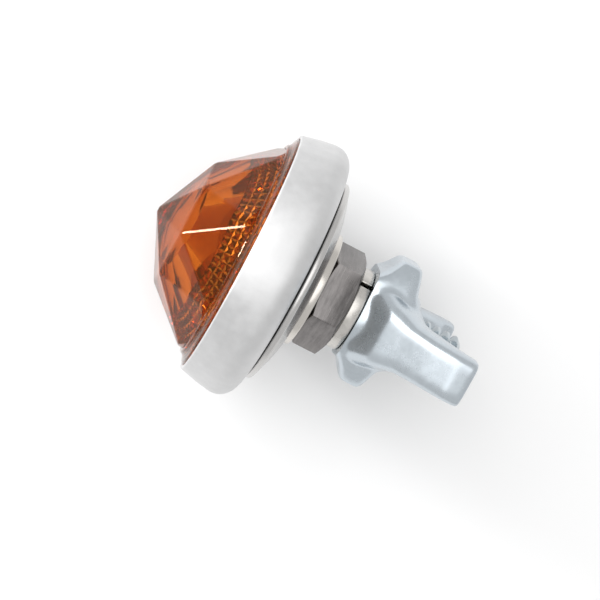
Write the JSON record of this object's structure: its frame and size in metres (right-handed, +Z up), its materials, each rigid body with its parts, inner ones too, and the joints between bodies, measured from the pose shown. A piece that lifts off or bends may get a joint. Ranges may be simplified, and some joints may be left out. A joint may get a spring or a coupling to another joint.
{
  "type": "turn signal indicator",
  "caption": "Small round turn signal indicator with a faceted amber jewel lens in a satin metal cup, held from behind by a hollow threaded stud with a hexagon nut and a wing nut.",
  "frame": {"origin": "on the stud's axis, in the rear face of the hexagon nut, where the bracket sits", "axes": "+Y along the stud towards its free end, so the lens looks to -Y; +Z up, through one wing of the wing nut"},
  "size_m": [0.0266, 0.0329, 0.0266],
  "materials": {
    "amber_lens": "faceted amber, clear and glossy",
    "satin_cup": "satin brushed, drawn sheet",
    "black_rubber": "matte",
    "bright_reflector": "bright",
    "board": "white solder mask",
    "led_body": "white package",
    "clear_dome": "clear silicone",
    "resistor_black": "matte",
    "diode_black": "matte",
    "solder": "dull",
    "insulator": "fibre",
    "plain_steel": "plain",
    "plate_metal": "polished",
    "washer_metal": "bright",
    "nut_steel": "brushed stainless",
    "spring_steel": "plain",
    "zinc_steel": "zinc plated",
    "cast_zinc": "bright zinc plated casting"
  },
  "bodies": {
    "lamp": {"lens": "amber_lens", "housing_cup": "satin_cup", "lens_gasket": "black_rubber", "reflector": "bright_reflector", "led_board": "board", "led_packages": "led_body", "led_domes": "clear_dome", "resistors": "resistor_black", "rectifier_diode": "diode_black", "solder_posts": "solder", "insulator_disc": "insulator", "board_spacer": "insulator", "tooth_washer": "plain_steel", "sealing_bush": "black_rubber", "back_gasket": "black_rubber", "back_plate": "plate_metal", "flat_washer": "washer_metal", "stud": "zinc_steel", "lead_bushing": "black_rubber", "hex_nut": "nut_steel"},
    "lock_washer": {"lock_washer": "spring_steel"},
    "wing_nut": {"wing_nut": "cast_zinc"}
  },
  "joints": [
    {"name": "wing_nut_travel", "type": "slide", "parent": "lamp", "child": "lock_washer", "axis": [0, 1, 0], "range_m": [0, 0.0106]},
    {"name": "wing_nut_spin", "type": "hinge", "parent": "lock_washer", "child": "wing_nut", "pos_m": [0, 0, 0], "axis": [0, 1, 0], "range_deg": [0, 3600]}
  ],
  "couplings": [
    {"joint": "wing_nut_travel", "follows": "wing_nut_spin", "m_per_rad": 0.00016843}
  ]
}
